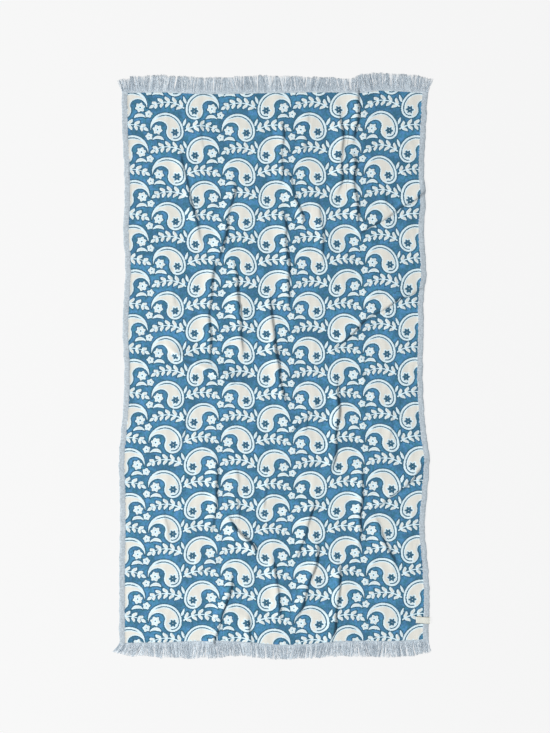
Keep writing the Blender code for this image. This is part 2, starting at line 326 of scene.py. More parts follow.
def new_group(name, takes, gives):
    """An empty node group and its inputs as fields. Sockets hold a number, apart from those in PLACES."""
    tree = bpy.data.node_groups.new(name, "ShaderNodeTree")
    for labels, in_out in ((takes, "INPUT"), (gives, "OUTPUT")):
        for label in labels:
            kind = "NodeSocketVector" if label in PLACES else "NodeSocketFloat"
            tree.interface.new_socket(name=label, in_out=in_out, socket_type=kind)
    entry = tree.nodes.new("NodeGroupInput")
    return tree, [Field(tree, entry.outputs[label]) for label in takes]


def give(tree, **results):
    """Links a group's results to its outputs."""
    exit_node = tree.nodes.new("NodeGroupOutput")
    for name, field in results.items():
        tree.links.new(field.socket, exit_node.inputs[name.title()])
    print("node group:", tree.name, len(tree.nodes), "nodes")


def use(group, tree, **inputs):
    """Places a node group, and gives its outputs by name. Here half_width means its input Half Width."""
    named = {name.replace("_", " ").title(): value for name, value in inputs.items()}
    node = add_node(tree, "ShaderNodeGroup", named, node_tree=group)
    return {output.name: Field(tree, output) for output in node.outputs}


# %% [markdown]
# ## The figures of the weave
#
# The pattern is the old paisley of many woven and printed cottons: a drop with a curled tip, in columns
# that are turned over and dropped by half a repeat, with leaf sprigs and small flowers between them.
#
# Every figure is a sum that says how far a point is from the figure's edge, less than nothing inside. Such
# distances join with a plain minimum, and the same number later places a painted highlight along the edges
# and painted shade in the outlines.

# %% A leaf, a ring of petals and an arc laid straight
BELLY_FORWARD, BELLY_FULL = 0.85, 0.85
leaf_group, (place, length, half_width) = new_group("Leaf", ["Place", "Length", "Half Width"], ["Distance"])
along_leaf, off_leaf = place.parts()
share = (along_leaf / length).at_least(0.0).at_most(1.0)
bulge = (share.math("POWER", BELLY_FORWARD) * math.pi).math("SINE").at_least(0.0)
belly = bulge.math("POWER", BELLY_FULL)
past_ends = (-along_leaf).at_least(along_leaf - length)
give(leaf_group, distance=(abs(off_leaf) - half_width * belly).at_least(past_ends))

petals_group, (place, petals, inner, length, half_width) = new_group(
    "Ring of petals", ["Place", "Petals", "Inner", "Length", "Half Width"], ["Distance"]
)
x, y = place.parts()
half_turn = (petals / math.pi).math("POWER", -1.0)
turn = y.math("ARCTAN2", x).math("WRAP", half_turn, -half_turn)
away = length_of(x, y)
petal_place = place_of(away * turn.math("COSINE") - inner, away * turn.math("SINE"))
petal = use(leaf_group, petals_group, place=petal_place, length=length, half_width=half_width)
give(petals_group, distance=petal["Distance"])

BEHIND_THE_START = 1.0
arc_group, (place, radius) = new_group("Arc laid straight", ["Place", "Radius"], ["Place"])
x, y = place.parts()
turn = y.math("ARCTAN2", x).math("WRAP", 2 * math.pi - BEHIND_THE_START, -BEHIND_THE_START)
give(arc_group, place=place_of(turn * radius, length_of(x, y) - radius))

# %% The paisley drop
TAPER_LATE, TAPER_FULL, START_SHARP = 1.4, 1.3, 5.0
drop_group, (place, radius, span, head) = new_group(
    "Paisley drop", ["Place", "Radius", "Span", "Head"], ["Distance"]
)
x, y = place.parts()
along_drop, off_drop = use(arc_group, drop_group, place=place, radius=radius)["Place"].parts()
share = (along_drop / span).at_least(0.0).at_most(1.0)
taper = (1.0 - share.math("POWER", TAPER_LATE)).at_least(0.0).math("POWER", TAPER_FULL)
past_ends = (along_drop * -START_SHARP).at_least(along_drop - span)
tail = (abs(off_drop) - head * taper).at_least(past_ends)
round_head = length_of(x - radius, y) - head
give(drop_group, distance=tail.at_most(round_head))

# %% A sprig of paired leaves on a bent stem
sprig_group, (place, span, pitch, leaf_length, leaf_half_width, stem) = new_group(
    "Sprig", ["Place", "Span", "Pitch", "Leaf Length", "Leaf Half Width", "Stem"], ["Distance"]
)
LEAF_SLANT = 0.62
FULLEST_AT, SMALLEST_LEAF, STEM_THINNER = 0.75, 0.55, 0.6
END_LEAF_LENGTH = 0.018
END_LEAF_HALF_WIDTH = 0.0050
END_LEAF_OVERLAP = 0.005
along_stem, off_stem = place.parts()
aside = abs(off_stem)
share = (along_stem / span).at_least(0.0).at_most(1.0)
fuller = (share.math("POWER", FULLEST_AT) * math.pi).math("SINE").at_least(0.0).math("SQRT")
grown = leaf_length * (fuller * (1 - SMALLEST_LEAF) + SMALLEST_LEAF)
slanted = along_stem - aside * LEAF_SLANT
last_leaf = (span / pitch).math("FLOOR") - 1.0
leaf_number = (slanted / pitch).math("FLOOR").at_least(0.0).at_most(last_leaf)
leaf_place = place_of(aside, slanted - (leaf_number + 0.5) * pitch)
leaves = use(leaf_group, sprig_group, place=leaf_place, length=grown, half_width=leaf_half_width)
past_ends = (-along_stem).at_least(along_stem - span)
bare_stem = (aside - stem * (share * -STEM_THINNER + 1.0)).at_least(past_ends)
end_place = place_of(along_stem - span + END_LEAF_OVERLAP, off_stem)
end_leaf = use(
    leaf_group, sprig_group, place=end_place, length=END_LEAF_LENGTH, half_width=END_LEAF_HALF_WIDTH
)
give(sprig_group, distance=leaves["Distance"].at_most(bare_stem).at_most(end_leaf["Distance"]))

# %% [markdown]
# ## One repeat
#
# A Mapping node of the texture kind takes a place to where a figure stands, turned as the figure is turned.
# The columns are laid over each other first: every second one is turned over and dropped by half a repeat,
# so one drop, one sprig and one flower are drawn and the whole cloth is covered.

# %% Placing a figure
COLUMN = 0.1095
REPEAT = 0.1370


def figure_place(place, across, along, turn=0.0, over=False):
    """A place as seen from a figure that stands at (across, along), turned and perhaps turned over."""
    inputs = {
        "Vector": place,
        "Location": (across, along, 0.0),
        "Rotation": (0.0, 0.0, math.radians(turn)),
        "Scale": (1.0, -1.0 if over else 1.0, 1.0),
    }
    node = add_node(place.tree, "ShaderNodeMapping", inputs, vector_type="TEXTURE")
    return Field(place.tree, node.outputs["Vector"])


def repeated(across, along, middle, height=REPEAT):
    """A place in a column, counted from the nearest figure whose middle is at that height."""
    return place_of(across, (along - middle).wrapped(height / 2) + middle)


# %% The figures together
figures_group, (place,) = new_group("Paisley figures", ["Place"], ["Depth"])
x, y = place.parts()
column = (x / COLUMN).math("ROUND")
odd = abs(column.math("MODULO", 2.0))
column_x = (x - column * COLUMN) * (odd * -2.0 + 1.0)
column_y = y - odd * (REPEAT / 2)

DROP_AT = (0.0120, -0.0255)
DROP_RADIUS, DROP_HEAD, DROP_TURN, DROP_SWEEP = 0.0375, 0.0262, 192.0, 196.0
drop_place = repeated(column_x, column_y, middle=-0.002)
drop_turned = figure_place(drop_place, *DROP_AT, turn=DROP_TURN, over=True)
drop_span = DROP_RADIUS * math.radians(DROP_SWEEP)
drop = use(
    drop_group, figures_group, place=drop_turned, radius=DROP_RADIUS, span=drop_span, head=DROP_HEAD
)["Distance"]
VEIN_START, VEIN_END, VEIN_FROM = 0.0060, 0.0092, 0.0405
vein = (-drop - VEIN_END).at_least(drop + VEIN_START).at_least(VEIN_FROM - length_of(*drop_turned.parts()))


def flower(place, petals, inner, length, half_width):
    """Petals that grow together round an open middle."""
    ring = {"petals": petals, "inner": inner, "length": length, "half_width": half_width}
    return use(petals_group, figures_group, place=place, **ring)["Distance"]


EYE_AT = (-0.0248, -0.0333)
eye_place = figure_place(drop_place, *EYE_AT)
eye = flower(eye_place, petals=6.0, inner=0.0010, length=0.0118, half_width=0.0038)
drop_figure = drop.at_least(-vein).at_least(-eye)

SPRIG_AT, SPRIG_RADIUS, SPRIG_TURN, SPRIG_SWEEP = (-0.0017, -0.0268), 0.086, 127.0, 68.0
sprig_repeat = repeated(column_x, column_y, middle=0.0592)
sprig_place = figure_place(sprig_repeat, *SPRIG_AT, turn=SPRIG_TURN, over=True)
sprig = use(
    sprig_group,
    figures_group,
    place=use(arc_group, figures_group, place=sprig_place, radius=SPRIG_RADIUS)["Place"],
    span=SPRIG_RADIUS * math.radians(SPRIG_SWEEP),
    pitch=0.0200,
    leaf_length=0.0180,
    leaf_half_width=0.0066,
    stem=0.0022,
)["Distance"]

CURL_AT, CURL_RADIUS, CURL_TURN, CURL_SWEEP = (0.0275, -0.0710), 0.022, 142.0, 104.0
curl_repeat = repeated(column_x, column_y, middle=-0.049)
curl_place = figure_place(curl_repeat, *CURL_AT, turn=CURL_TURN, over=True)
curl = use(
    leaf_group,
    figures_group,
    place=use(arc_group, figures_group, place=curl_place, radius=CURL_RADIUS)["Place"],
    length=CURL_RADIUS * math.radians(CURL_SWEEP),
    half_width=0.0052,
)["Distance"]

BIG_AT, BIG_TURN, BIG_HEART, BIG_EYE = (0.0285, -0.0255), 12.0, 0.0052, 0.0022
big_repeat = repeated(column_x, column_y, middle=-0.0255)
big_place = figure_place(big_repeat, *BIG_AT, turn=BIG_TURN)
away = length_of(*big_place.parts())
big_petals = flower(big_place, petals=6.0, inner=0.0030, length=0.0128, half_width=0.0056)
big_flower = big_petals.at_most(away - BIG_HEART).at_least(BIG_EYE - away)


def seam_place(side, height):
    """A place counted from the line between two columns, where every second figure is turned over."""
    across = (x - COLUMN * side).wrapped(COLUMN)
    step = ((y - height) / (REPEAT / 2)).math("ROUND")
    flip = abs(step.math("MODULO", 2.0)) * -2.0 + 1.0
    return place_of(across * flip, y - height - step * (REPEAT / 2))


small_place = figure_place(seam_place(0.5, 0.0222), 0.0, 0.0, turn=30.0)
small_flower = flower(small_place, petals=5.0, inner=0.0015, length=0.0105, half_width=0.0052)
SLIM_AT, SLIM_TURN = (0.0043, -0.0117), 110.0
slim_place = figure_place(seam_place(1.5, -0.0010), *SLIM_AT, turn=SLIM_TURN)
slim_leaf = use(leaf_group, figures_group, place=slim_place, length=0.0250, half_width=0.0040)["Distance"]

nearest = drop_figure
for figure in (sprig, curl, big_flower, small_flower, slim_leaf):
    nearest = nearest.at_most(figure)
give(figures_group, depth=-nearest)

# %% [markdown]
# ## The double weave
#
# Two cloths are woven at once here, a blue one and a pale one, and they change places at the edge of every
# figure. So the edge follows whole threads, the figures stand up a little, and a groove runs round each of
# them. The group below snaps the figures to the threads, and gives both faces their masks and heights.

# %% Threads
WARP_STEP = 0.0013
WEFT_STEP = 0.0011
THREAD_WANDER = 0.0006
WANDER_BY_WEFT, WANDER_BY_WARP = 0.37, 0.11
WEFT_SLUBS, WARP_SLUBS = (9.0, 260.0), (420.0, 7.0)

threads_group, (place,) = new_group("Threads", ["Place"], ["Snapped", "Height", "Slub"])
x, y = place.parts()
weft_number = (y / WEFT_STEP).math("FLOOR")
warp_number = (x / WARP_STEP).math("FLOOR")
wander_place = place_of(weft_number * WANDER_BY_WEFT, warp_number * WANDER_BY_WARP)
shift = speckle(wander_place, 1.0, detail=0.0) - 0.5
snapped_x = (warp_number + 0.5) * WARP_STEP + shift * (2 * THREAD_WANDER)
snapped = place_of(snapped_x, (weft_number + 0.5) * WEFT_STEP)
over_warp = abs((x * (math.pi / WARP_STEP)).math("SINE"))
over_weft = abs((y * (math.pi / WEFT_STEP)).math("SINE"))
weft_slubs = speckle(place_of(x * WEFT_SLUBS[0], y * WEFT_SLUBS[1]), 1.0, detail=3.0)
slub = (weft_slubs + speckle(place_of(x * WARP_SLUBS[0], y * WARP_SLUBS[1]), 1.0)) * 0.5
give(threads_group, snapped=snapped, height=(over_warp * over_weft).math("SQRT"), slub=slub)

# %% The crest of a fold
# A fold falls away within a few threads on its steep side, more sharply than the grid of the sheet can
# bend. The mask marks a soft band along that side, where painted shade darkens the blue cloth.
CREST_RISE, CREST_TOP, CREST_FOOT, CREST_SHARE = -0.012, 0.0010, 0.0072, 0.23
FULL_HEIGHT = 0.0065
FOLD_SHADE_FROM, FOLD_SHADE_FULL, FOLD_SHADE_FADES, FOLD_SHADE_TO = -0.0090, 0.0020, 0.0060, 0.0240

crest_group, (off, fold_height) = new_group("Fold crest", ["Off", "Fold Height"], ["Height", "Pressed"])
climb = off.eased_between(CREST_RISE, CREST_TOP)
fall = off.eased_between(CREST_FOOT, CREST_TOP)
pressed = off.eased_between(FOLD_SHADE_FROM, FOLD_SHADE_FULL) * off.eased_between(FOLD_SHADE_TO, FOLD_SHADE_FADES)
give(
    crest_group,
    height=climb.at_most(fall) * fold_height * CREST_SHARE,
    pressed=pressed * (fold_height / FULL_HEIGHT).at_most(1.0),
)

# %% The face of the cloth
COLOUR_CHANGE = 0.0002
EDGE_REACH, RIM_CORE, OUTLINE_CORE = 0.0052, 0.0009, 0.0014
HEM_WANDER, ROW_WANDER, ROW_BLUR = 0.0020, 0.0025, 0.0008
MORE_TOP_ROWS = 0.0020
HEM_NOISE, ROW_NOISE = (90.0, 2.0), (700.0, 2.0)
GROOVE_WIDTH, GROOVE_DEPTH, PALE_RISE = 0.0042, 0.00036, 0.00018
THREAD_RISE, SLUB_RISE = 0.00010, 0.00016

weave_group, (place, pale_side, hem_line, end_line) = new_group(
    "Double weave",
    ["Place", "Pale Side", "Hem Line", "End Line"],
    ["Pale", "Rim", "Outline", "Hem", "Thread", "Slub", "Height"],
)
threads = use(threads_group, weave_group, place=place)
depth = use(figures_group, weave_group, place=threads["Snapped"])["Depth"] * pale_side
pale = depth.eased_between(-COLOUR_CHANGE, COLOUR_CHANGE)
edge = abs(depth)
# A painted highlight just inside the figures' edges, and painted shade in the outlines just outside.
rim = edge.eased_between(EDGE_REACH, RIM_CORE)
outline = edge.eased_between(EDGE_REACH, OUTLINE_CORE)
snapped_x, snapped_y = threads["Snapped"].parts()
hem_noise = speckle(place_of(snapped_y * HEM_NOISE[0], snapped_x * HEM_NOISE[1]), 1.0)
hem_wander = hem_noise * (2 * HEM_WANDER) - HEM_WANDER
side_hem = (abs(snapped_x) + hem_wander).math("GREATER_THAN", hem_line)
row_noise = speckle(place_of(snapped_x * ROW_NOISE[0], snapped_y * ROW_NOISE[1]), 1.0, detail=1.0)
last_rows = row_noise * (2 * ROW_WANDER) - ROW_WANDER
flat_y = place.parts()[1]
from_middle = (flat_y + MORE_TOP_ROWS).at_least(-flat_y)
ends = (from_middle + last_rows).eased_between(end_line, end_line + ROW_BLUR)
hem = side_hem.at_least(ends)
relief = edge.eased_between(0.0, GROOVE_WIDTH) * GROOVE_DEPTH + pale * PALE_RISE
plain = 1.0 - hem
height = relief * plain + threads["Height"] * THREAD_RISE + threads["Slub"] * SLUB_RISE
give(
    weave_group,
    pale=pale * plain,
    rim=rim * plain,
    outline=outline * plain,
    hem=hem,
    thread=threads["Height"],
    slub=threads["Slub"],
    height=height,
)

# %% [markdown]
# ## Cloth colours
#
# The blue yarn is dyed a little unevenly, flecked and in places greener. Painted shade darkens it in broad
# random patches, more beside the folds, and most in the grooves round the figures. The pale yarn is an
# unbleached white, with a cooler painted highlight along the edges of the figures. The turned hems are plain
# weave with both colours crossed, which the eye reads as a soft grey blue. Painted shade darkens the gaps
# between all the threads. The hem on the right is a little lighter, as painted light, and the last rows at
# the top are lighter too.

# %% Small helpers for finishes
def new_finish(name):
    """A new material, its node tree and its main shader."""
    material = bpy.data.materials.new(name)
    material.use_nodes = True
    return material, material.node_tree, material.node_tree.nodes["Principled BSDF"]


def map_place(tree, name):
    """The place that one of the mesh's UV maps holds."""
    return Field(tree, add_node(tree, "ShaderNodeUVMap", {}, uv_map=name).outputs["UV"])


def point_value(tree, name):
    """A number that the mesh keeps for each of its points."""
    return Field(tree, add_node(tree, "ShaderNodeAttribute", {}, attribute_name=name).outputs["Fac"])


def add_bump(tree, shader, height, strength):
    """Lets a height in metres tilt the surface's shading."""
    bump = add_node(tree, "ShaderNodeBump", {"Strength": strength, "Distance": 1.0, "Height": height})
    tree.links.new(bump.outputs["Normal"], shader.inputs["Normal"])


# %% Towel material
# The darkest blue is painted shade, and the brightest pale is a painted highlight.
BLUE = (0.078, 0.256, 0.510, 1.0)
TEAL = (0.045, 0.218, 0.320, 1.0)
SHADE_BLUE = (0.020, 0.084, 0.136, 1.0)
PALE = (0.738, 0.728, 0.672, 1.0)
HIGHLIGHT_PALE = (0.710, 0.905, 1.000, 1.0)
HEM_LIGHT = (0.481, 0.542, 0.590, 1.0)
HEM_DARK = (0.388, 0.456, 0.512, 1.0)
HEM_INNER_EDGE = CLOTH_WIDTH / 2 - HEM_WIDTH
LAST_ROWS = 0.0030
WEAVE_RELIEF = 0.8
OUTLINE_SHADE_SHARE, FOLD_SHADE_SHARE, PATCH_SHADE_SHARE, RIM_HIGHLIGHT_SHARE = 0.92, 0.85, 0.56, 0.94
FLECKS, THREAD_GAP_SHADE, SLUB_SHADE, BASE_SHADE = 0.8, 0.16, 0.18, 0.80
RIGHT_HEM_PAINTED_LIGHT, PALER_END, PALER_ROWS = 0.13, 0.15, 0.0060
DYE_SCALE, DYE_FROM, DYE_TO = 80.0, 0.36, 0.66
PATCH_SHADE_SCALE, PATCH_SHADE_FROM, PATCH_SHADE_TO = 15.0, 0.38, 0.66
WORN_SCALE, WORN_FROM, WORN_TO = 60.0, 0.3, 0.7
FLECK_SCALE = 190.0
HEM_THREAD_GAP_SHADE, HEM_SLUB, HEM_WORN = 0.35, 0.45, 0.35
BLUE_ROUGHNESS, PALE_SMOOTHER = 0.92, 0.06


def cloth_material(name, pale_side):
    """The double weave, seen from its face (pale_side 1) or from its back (pale_side -1)."""
    material, tree, shader = new_finish(name)
    place = map_place(tree, "cloth_place")
    end_line = CLOTH_LENGTH / 2 - LAST_ROWS
    weave = use(
        weave_group, tree, place=place, pale_side=pale_side, hem_line=HEM_INNER_EDGE, end_line=end_line
    )
    off, fold_height = point_value(tree, "fold_off"), point_value(tree, "fold_height")
    crest = use(crest_group, tree, off=off, fold_height=fold_height)
    dye = speckle(place, DYE_SCALE, detail=5.0, roughness=0.75).eased_between(DYE_FROM, DYE_TO)
    # Broad random patches of painted shade in the blue.
    patch_noise = speckle(place, PATCH_SHADE_SCALE, detail=4.0, roughness=0.6)
    patch_shade = patch_noise.eased_between(PATCH_SHADE_FROM, PATCH_SHADE_TO) * PATCH_SHADE_SHARE
    # Painted shade in the blue: in the outlines, beside the folds and in broad patches.
    painted_shade = (weave["Outline"] * OUTLINE_SHADE_SHARE).at_least(crest["Pressed"] * FOLD_SHADE_SHARE).at_least(patch_shade)
    blue = mixed(painted_shade, mixed(dye, BLUE, TEAL), SHADE_BLUE)
    # A painted highlight along the edges of the pale figures.
    pale = mixed(weave["Rim"] * RIM_HIGHLIGHT_SHARE, PALE, HIGHLIGHT_PALE)
    worn = speckle(place, WORN_SCALE, detail=3.0).eased_between(WORN_FROM, WORN_TO)
    # Painted shade between the hem's threads, with random slubs and wear.
    crossed = weave["Thread"] * HEM_THREAD_GAP_SHADE + weave["Slub"] * HEM_SLUB + worn * HEM_WORN
    hem = mixed(crossed.at_most(1.0), HEM_DARK, HEM_LIGHT)
    colour = mixed(weave["Hem"], mixed(weave["Pale"], blue, pale), hem)
    flecks = (speckle(place, FLECK_SCALE, detail=2.0) - 0.5) * (1.0 - weave["Pale"]) * FLECKS
    # Painted light makes the right hem lighter; the last rows at the top are lighter too.
    flat_x, flat_y = place.parts()
    near_top = flat_y.eased_between(end_line - PALER_ROWS, end_line)
    painted_light_and_paler_top = weave["Hem"] * (flat_x.at_least(0.0) * RIGHT_HEM_PAINTED_LIGHT + near_top * PALER_END)
    # Painted shade between the threads and painted light on the right hem, with slubs and flecks of tone.
    shade = weave["Thread"] * THREAD_GAP_SHADE + weave["Slub"] * SLUB_SHADE + flecks + painted_light_and_paler_top + BASE_SHADE
    shaded = add_node(
        tree, "ShaderNodeMix", {0: 1.0, MIX_A: colour}, data_type="RGBA", blend_type="MULTIPLY"
    )
    grey = add_node(tree, "ShaderNodeCombineColor", {"Red": shade, "Green": shade, "Blue": shade})
    tree.links.new(grey.outputs["Color"], shaded.inputs[MIX_B])
    tree.links.new(shaded.outputs[MIX_RESULT], shader.inputs["Base Color"])
    add_bump(tree, shader, weave["Height"] * WEAVE_RELIEF + crest["Height"], strength=1.0)
    rough = weave["Pale"] * -PALE_SMOOTHER + BLUE_ROUGHNESS
    tree.links.new(rough.socket, shader.inputs["Roughness"])
    shader.inputs["Sheen Weight"].default_value = 0.10
    shader.inputs["Sheen Roughness"].default_value = 0.5
    return material


towel_face = cloth_material("towel_face", 1.0)
towel_back = cloth_material("towel_back", -1.0)
print("materials:", towel_face.name, towel_back.name)

# %% [markdown]
# ## The sheet
#
# The cloth is a fine grid whose points know their place on the flat cloth, so the pattern bends with the
# cloth. Its upper face stands off the lower one by the thickness of the weave, measured square to the
# cloth, and by more where the hems are turned. A Solidify modifier would do the same, but not the soft,
# rolled edge of a hem. The hems ripple by a millimetre, because their sewing thread pulls them in a little.

# %% Grid and small waves
HEM_PROFILE = [
    (0.0, CLOTH_THICKNESS),
    (0.0012, HEM_THICKNESS),
    (0.006, 0.0027),
    (0.012, 0.0027),
    (0.0165, HEM_THICKNESS),
    (0.0178, CLOTH_THICKNESS),
]
GRID_ACROSS, GRID_ALONG = 160, 296
SWELL, SWELL_SIZE, SWELL_STRETCH = 0.0012, 0.085, 0.6
PUCKER, PUCKER_SIZE, PUCKER_STRETCH = 0.0013, 0.030, 0.35
WAVER_DEPTH, WAVER_AMOUNT = 0.040, 0.0011
WAVER_LONG, WAVER_SHORT = 0.062, 0.027
LONG_BEAT, SHORT_BEAT, SHORT_SHARE = 11.0, 7.0, 0.6


def small_waves(x, y):
    """Low swells and puckers that stay after the cloth is smoothed by hand."""
    heights = []
    for px, py in zip(x.ravel(), y.ravel()):
        swell = 0.5 + 0.5 * noise.noise(Vector((px / SWELL_SIZE, py / SWELL_SIZE * SWELL_STRETCH, 3.0)))
        pucker = 1 - abs(noise.noise(Vector((px / PUCKER_SIZE, py / PUCKER_SIZE * PUCKER_STRETCH, 9.0)))) * 2
        heights.append(SWELL * swell + PUCKER * max(pucker, 0.0) ** 4)
    return np.array(heights).reshape(x.shape)


hem_insets = np.array([inset for inset, _ in HEM_PROFILE])
hem_thicknesses = np.array([thickness for _, thickness in HEM_PROFILE])
middle_cells = GRID_ACROSS - 2 * (len(HEM_PROFILE) - 1)
half_width = CLOTH_WIDTH / 2
middle_lines = np.linspace(-half_width + hem_insets[-1], half_width - hem_insets[-1], middle_cells + 1)
hem_lines = half_width - hem_insets[:-1]
across_lines = np.concatenate([-hem_lines, middle_lines, hem_lines[::-1]])
along_lines = np.linspace(-CLOTH_LENGTH / 2, CLOTH_LENGTH / 2, GRID_ALONG + 1)
across, along = np.meshgrid(across_lines, along_lines)
smooth_x, smooth_y = laid_out(across, along)
home_x = (CLOTH_BOX[0][0] + CLOTH_BOX[1][0] - smooth_x.min() - smooth_x.max()) / 2
home_y = (CLOTH_BOX[0][1] + CLOTH_BOX[1][1] - smooth_y.min() - smooth_y.max()) / 2


def selvedge_waver(across, along):
    """How far small pulls in the hems shift points sideways: nothing in the middle of the cloth."""
    near = eased((np.abs(across) - CLOTH_WIDTH / 2 + WAVER_DEPTH) / WAVER_DEPTH)
    phase = np.sign(across) * 2.0
    long_waves = np.sin(along * 2 * math.pi / WAVER_LONG + phase) * np.sin(along * LONG_BEAT + phase)
    short_waves = np.sin(along * 2 * math.pi / WAVER_SHORT - phase) * np.sin(along * SHORT_BEAT + 3 * phase)
    return near * (WAVER_AMOUNT * long_waves + WAVER_AMOUNT * SHORT_SHARE * short_waves)


def under_points(across, along):
    """Where points of the cloth's underside lie, given where they are on the flat cloth."""
    x, y = laid_out(across, along)
    x = x + selvedge_waver(across, along)
    folded_x, folded_y, height = folded(x, y)
    return np.stack([folded_x + home_x, folded_y + home_y, height + small_waves(x, y)], axis=-1)


under = under_points(across, along)
square_off = np.cross(np.gradient(under, axis=1), np.gradient(under, axis=0))
square_off /= np.linalg.norm(square_off, axis=2, keepdims=True)
inset = half_width - np.abs(across)
thickness = np.interp(inset, hem_insets, hem_thicknesses)
upper = under + square_off * thickness[:, :, None]
print("grid:", across.shape, "moved by", round(home_x, 5), round(home_y, 5))
print("highest point of the cloth:", round(upper[..., 2].max(), 4))

# %% The cloth as a thin solid
numbers = np.arange(across.size).reshape(across.shape)
below = numbers + across.size
cell_corners = (numbers[:-1, :-1], numbers[:-1, 1:], numbers[1:, 1:], numbers[1:, :-1])
cells = np.stack([corner.ravel() for corner in cell_corners], axis=1)


def cut_edge(line):
    """The cut edge between the two faces, along a line of points with the cloth on its left."""
    low = line + across.size
    return np.stack([line[:-1], low[:-1], low[1:], line[1:]], axis=1)


outline_lines = (numbers[0], numbers[:, -1], numbers[-1, ::-1], numbers[::-1, 0])
cut_edges = [cut_edge(line) for line in outline_lines]
faces = np.concatenate([cells, below.ravel()[cells][:, ::-1], *cut_edges])
sheet_points = np.concatenate([upper.reshape(-1, 3), under.reshape(-1, 3)])
sheet_mesh = bpy.data.meshes.new("towel_sheet")
sheet_mesh.from_pydata(sheet_points.tolist(), [], faces.tolist())
for finish in (towel_face, towel_back):
    sheet_mesh.materials.append(finish)
is_back = np.zeros(len(faces), np.int32)
is_back[len(cells):2 * len(cells)] = 1
sheet_mesh.polygons.foreach_set("material_index", is_back)
for label, values in zip(("fold_off", "fold_height"), nearest_fold(smooth_x, smooth_y)):
    layer = sheet_mesh.attributes.new(label, "FLOAT", "POINT")
    layer.data.foreach_set("value", np.tile(values.ravel(), 2).astype(np.float32))
sheet_mesh.shade_smooth()
sheet_mesh.set_sharp_from_angle(angle=math.radians(75))


def put_in_scene(name, data):
    """A new object in the scene, from a mesh, a light or a camera."""
    thing = bpy.data.objects.new(name, data)
    bpy.context.scene.collection.objects.link(thing)
    return thing


towel_sheet = put_in_scene("towel_sheet", sheet_mesh)
print("sheet faces:", len(faces), "of them on the back:", int(is_back.sum()))

# %% Two maps for the sheet
# One holds the place on the flat cloth, for the pattern. The other lays both faces side by side in a
# square, with the cut edges in narrow strips between and beside them.
MAP_MARGIN = 0.010
MAP_WIDTH = 0.480
MAP_BACK = 0.500
EDGE_STRIPS = [(0.002, "v"), (0.502, "u"), (0.994, "v"), (0.494, "u")]
EDGE_STRIP_WIDTH = 0.004

corner_points = faces.ravel()
flat_place = np.stack([across.ravel(), along.ravel()], axis=1)
flat_place = np.concatenate([flat_place, flat_place])[corner_points]
cloth_map = sheet_mesh.uv_layers.new(name="cloth_place")
cloth_map.data.foreach_set("uv", flat_place.astype(np.float32).ravel())

side_by_side = np.empty_like(flat_place)
side_by_side[:, 0] = MAP_MARGIN + (flat_place[:, 0] / CLOTH_WIDTH + 0.5) * MAP_WIDTH
side_by_side[:, 1] = MAP_MARGIN + (flat_place[:, 1] / CLOTH_LENGTH + 0.5) * (1 - 2 * MAP_MARGIN)
face_corners = len(cells) * 4
side_by_side[face_corners:2 * face_corners, 0] += MAP_BACK
start = 2 * face_corners
for edge, (strip_at, axis) in zip(cut_edges, EDGE_STRIPS):
    end = start + edge.size
    column = 0 if axis == "u" else 1
    on_top = corner_points[start:end] < across.size
    side_by_side[start:end, column] = strip_at + np.where(on_top, EDGE_STRIP_WIDTH, 0)
    start = end
bake_map = sheet_mesh.uv_layers.new(name="OFBake")
bake_map.data.foreach_set("uv", side_by_side.astype(np.float32).ravel())
print("maps:", [layer.name for layer in sheet_mesh.uv_layers])

# %% [markdown]
# ## Yarn, by the hundred
#
# The fringe, the hem stitches and the tape's stitches are all short lengths of yarn. Curve objects would
# do, but two thousand of them are slow, so one function turns a table of paths into one mesh of tubes.

# %% Tubes along many paths at once
UP = np.array([0.0, 0.0, 1.0])
STRIP_GAP, STRIP_END = 0.1, 0.02
CAP_AT, CAP_ACROSS, CAP_ALONG = 0.010, 0.35, 0.008


